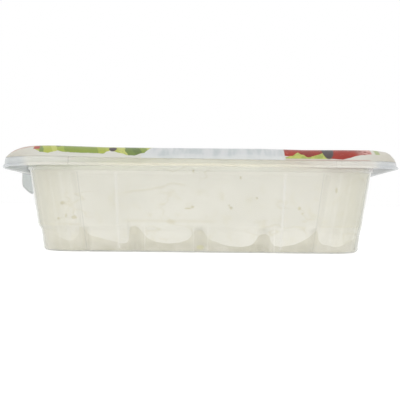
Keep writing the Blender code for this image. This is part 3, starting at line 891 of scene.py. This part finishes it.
def edge_fall(kind, side, value):
    """Share of CHEESE_DROP at a place round the top: all of it in the corners."""
    if kind == "corner":
        return 1.0
    share = (value / level_straight(side)) ** 2
    return share if side in (FRONT, BACK) else 0.6 + 0.4 * share


def filling_plan(places, heights, channel=0.0):
    """Outline of what lies against the wall, each place at a height of its own. channel is how far it
    is drawn back over the width of the channel."""
    keep = 1.0 - 0.5 * channel
    points = []
    for place, height in zip(places, heights):
        inset, radius, rib, panel, flute = wall_at(height)[:5]
        inset += WALL_CONTACT + CHANNEL * channel
        radius -= 0.4 * CHANNEL * channel
        points += outline([place], inset, radius, rib * keep, panel, flute * keep)
    return points


def filling_points(places, contact, rise, channel):
    """Points of a ring in the channel, at a share of the rise from the floor to the wall contact."""
    heights = [CHEESE_FLOOR + (height - CHEESE_FLOOR) * rise for height in contact]
    return at_heights(filling_plan(places, heights, channel), heights)


# the cheese's round edge over the channel: share of the rise to the wall, share of the channel's width
UNDERCUT = [
    (0.0, 1.0), (0.12, 0.98), (0.30, 0.88), (0.50, 0.72), (0.68, 0.54), (0.82, 0.36), (0.92, 0.20),
    (0.97, 0.09), (1.0, 0.0),
]
# the whey round its ring: up the wall from the floor, then back down under the cheese
WHEY_COURSE = [
    (0.0, 0.90), (0.0, 0.45), (0.0, 0.0), (0.06, 0.0), (0.14, 0.0), (0.30, 0.0), (0.60, 0.0), (1.0, 0.0),
    (0.97, 0.13), (0.70, 0.56), (0.40, 0.84), (0.10, 1.0),
]


def make_cheese():
    """The block: up the round edge of its foot, up the wall, over a soft shoulder and a low crown."""
    places = stations(1.0, 22)
    contact = [contact_height(*place) for place in places]
    falls = [edge_fall(*place) for place in places]
    mesh = bmesh.new()
    ring = None
    for rise, channel in UNDERCUT:
        ring = next_ring(mesh, ring, filling_points(places, contact, rise, channel))
    foot = list(mesh.verts)[:len(places)]
    crisp(ring)
    steps = 24
    top = SHOULDER_HEIGHT - 0.4
    for step in range(1, steps + 1):
        heights = [low + (top - low) * step / steps for low in contact]
        ring = next_ring(mesh, ring, at_heights(filling_plan(places, heights), heights))
    for below, pull in ((1.6, 0.10), (0.9, 0.35), (0.35, 0.9), (0.08, 1.7)):
        heights = [CHEESE_TOP - below - CHEESE_DROP * fall for fall in falls]
        plan = outline(places, FLANGE_WIDTH + 0.3 + pull, BODY_RADIUS - 0.3 * pull)
        ring = next_ring(mesh, ring, at_heights(plan, heights))

    def top_points(share):
        lift = CHEESE_CROWN * math.sin(QUARTER * share)
        plan = outline(places, FLANGE_WIDTH + 2.0 + 34.0 * share, BODY_RADIUS * (1 - 0.9 * share))
        heights = [CHEESE_TOP + lift - CHEESE_DROP * fall * (1 - share) ** 2 for fall in falls]
        return at_heights(plan, heights)

    fill_disc(mesh, ring, top_points, [step / 12 for step in range(1, 13)])
    bmesh.ops.contextual_create(mesh, geom=ring_edges(foot))
    for vertex in mesh.verts:
        where = vertex.co / MM
        lump = 0.04 * noise.noise(where * 0.11) + 0.02 * noise.noise(where * 0.45)
        vertex.co.z += lump * MM * (1.6 if where.z > SHOULDER_HEIGHT else 1.0)
    cheese = finish(mesh, "primo_sale_block", [make_cheese_look()])
    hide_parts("cheese")
    return cheese


def make_whey():
    """The ring of liquid in the channel, up to the edge of the cheese."""
    places = stations(1.0, 22)
    contact = [contact_height(*place) for place in places]
    mesh = bmesh.new()
    rings = [None]
    for rise, channel in WHEY_COURSE:
        rings.append(next_ring(mesh, rings[-1], filling_points(places, contact, rise, channel)))
        if rise == 1.0:
            crisp(rings[-1])
    bmesh.ops.bridge_loops(mesh, edges=ring_edges(rings[-1]) + ring_edges(rings[1]))
    whey = finish(mesh, "whey_channel", [make_whey_look()])
    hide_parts("whey")
    return whey


# how far the film has settled along the pack: distance from the middle, and drop
FILM_SAG = [(-85.0, 0.0), (-62.0, 0.12), (-40.0, 0.48), (0.0, 0.42), (25.0, 0.40), (44.0, 0.88),
            (64.0, 0.84), (74.0, 0.5), (85.0, 0.3)]
# how far it bulges out over the flange at the ends
END_SWELL = [(-85.0, 0.6), (-82.0, 0.5), (-77.0, 0.0), (68.0, 0.0), (75.0, 0.5), (80.0, 1.4), (85.0, 1.7)]
FILM_RADIUS = LIP_RADIUS - 0.6
FILM_EDGE = RIM_HEIGHT + 0.18
# the film from its edge inwards: inset, share of the rise to its top, radius
FILM_LAND = [
    (FILM_INSET, 0.0, FILM_RADIUS), (1.6, 0.09, FILM_RADIUS - 0.4), (3.2, 0.34, LIP_RADIUS - 1.8),
    (4.8, 0.56, LIP_RADIUS - 3.0), (6.4, 0.75, BODY_RADIUS + 2.6), (7.6, 0.84, BODY_RADIUS + 1.8),
    (9.0, 0.90, BODY_RADIUS + 1.0), (11.2, 0.95, BODY_RADIUS), (14.0, 0.98, BODY_RADIUS - 1.0),
    (18.0, 1.0, BODY_RADIUS - 2.4), (24.0, 1.0, BODY_RADIUS - 4.0), (31.0, 1.0, BODY_RADIUS - 6.4),
    (38.0, 1.0, BODY_RADIUS - 9.0), (45.0, 1.0, BODY_RADIUS - 11.4), (52.0, 1.0, BODY_RADIUS - 14.0),
    (57.0, 1.0, BODY_RADIUS - 15.3),
]
# the pull tab from the film's edge down: distance out, share of its drop
TAB_FALL = [(0.35, 0.008), (0.75, 0.035), (1.1, 0.08), (1.45, 0.15), (1.75, 0.28), (1.9, 0.42),
            (2.0, 0.56), (2.05, 0.70), (2.1, 0.85), (2.1, 1.0)]
TAB_COLUMNS = 25


def film_height(x):
    """Height of the film's top inside the flange."""
    return FILM_TOP + FILM_END_LIFT * (x / HALF_LENGTH) ** 2 - between(FILM_SAG, x)


def film_stations(across):
    """Places round the film with one for each of the tab's columns, and where those begin in the list."""
    reach = level_straight(LEFT)
    scale = (HALF_DEPTH - FILM_INSET - FILM_RADIUS) / reach
    places = [place for place in stations(1.6, 26) if place[:2] != ("side", LEFT)]
    first = next(index for index, place in enumerate(places) if place[:2] == ("corner", LEFT))
    left = [y / scale for y in across]
    steps = 16
    left += [left[-1] + (-reach - left[-1]) * step / steps for step in range(1, steps)]
    places[first:first] = [("side", LEFT, place) for place in left]
    return places, first


def make_film():
    """The lidding film, raised over the flange, and its pull tab folded down at the left end."""
    near, far = TAB_EDGE[0][0], TAB_EDGE[-1][0]
    across = [far + (near - far) * smooth(step / (TAB_COLUMNS - 1)) for step in range(TAB_COLUMNS)]
    places, first = film_stations(across)
    mesh = bmesh.new()
    rings = [None]
    for inset, share, radius in FILM_LAND:
        points = []
        for x, y in outline(places, inset, radius):
            low = FILM_EDGE + between(RIM_WARP, x)
            swell = between(END_SWELL, x) * math.sin(math.pi * share ** 0.7)
            points.append((x, y, low + (film_height(x) - low) * share + swell))
        rings.append(next_ring(mesh, rings[-1], points))
    bmesh.ops.contextual_create(mesh, geom=ring_edges(rings[-1]))
    hem = rings[1][first:first + TAB_COLUMNS]
    tops = [vertex.co / MM for vertex in hem]
    for out, share in TAB_FALL:
        points = [(top.x - out, y, top.z - (between(TAB_EDGE, y) + top.z - FILM_EDGE) * share)
                  for top, y in zip(tops, across)]
        hem = next_ring(mesh, hem, points, closed=False)
    film = finish(mesh, "lidding_film", [make_film_look(), make_reverse_look()], FILM)
    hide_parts("lid_film")
    return film


# -------------------- stage, light and camera
def make_stage():
    """A white table that is bright enough to fade into the background."""
    mesh = bmesh.new()
    bmesh.ops.create_grid(mesh, x_segments=1, y_segments=1, size=4.0)
    data = bpy.data.meshes.new("table")
    mesh.to_mesh(data)
    mesh.free()
    table = bpy.data.objects.new("table", data)
    look, add = new_material("white_table")
    paint = add("BsdfPrincipled", {}, Base_Color=colour("c2c2c1"), Roughness=0.9, Emission_Color=WHITE,
                Emission_Strength=0.62)
    add("OutputMaterial", {}, paint)
    data.materials.append(look)
    bpy.context.scene.collection.objects.link(table)


# area lights: name, place, size, power
LIGHTS = [
    ("key_box", (-0.7, -0.9, 0.9), 0.5, 1.4),
    ("fill_box", (0.9, -0.8, 0.6), 0.5, 0.8),
    ("front_box", (0.0, -1.3, 0.40), 1.2, 3.0),
]
LIT_POINT = Vector((0.0, 0.0, 0.02))


def make_light():
    """Even white light from all round, with a little more from the front."""
    world = bpy.data.worlds.new("studio")
    world.use_nodes = True
    background = world.node_tree.nodes["Background"]
    background.inputs["Color"].default_value = WHITE
    background.inputs["Strength"].default_value = 1.0
    bpy.context.scene.world = world
    for name, place, size, power in LIGHTS:
        light = bpy.data.lights.new(name, "AREA")
        light.size = size
        light.energy = power
        lamp = bpy.data.objects.new(name, light)
        lamp.location = place
        lamp.rotation_euler = (LIT_POINT - Vector(place)).to_track_quat("-Z", "Y").to_euler()
        bpy.context.scene.collection.objects.link(lamp)


# the camera: metres, degrees and, for the picture's width and the focal length, picture elements
CAMERA_PLACE = (-0.0001, -0.4282, 0.0218)
CAMERA_PITCH = 0.12
CAMERA_ROLL = 0.58
FRAME_WIDTH = 400
FOCAL_PIXELS = 900
SENSOR = 36.0  # mm


def make_camera():
    """A camera square to the front of the pack, a little above its middle."""
    data = bpy.data.cameras.new("camera")
    data.sensor_width = SENSOR
    data.lens = FOCAL_PIXELS * SENSOR / FRAME_WIDTH
    data.clip_start = 0.01
    camera = bpy.data.objects.new("camera", data)
    turn = Euler((math.radians(90 + CAMERA_PITCH), 0, 0)).to_matrix().to_4x4()
    turn = turn @ Matrix.Rotation(math.radians(CAMERA_ROLL), 4, "Z")
    camera.matrix_world = Matrix.Translation(CAMERA_PLACE) @ turn
    bpy.context.scene.collection.objects.link(camera)
    bpy.context.scene.camera = camera


# plain colours, and enough see-through layers for the tray's two walls with the film over them
bpy.context.scene.view_settings.view_transform = "Standard"
bpy.context.scene.cycles.transparent_max_bounces = 24

make_camera()
make_light()
make_stage()
make_tray()
make_cheese()
make_whey()
make_film()
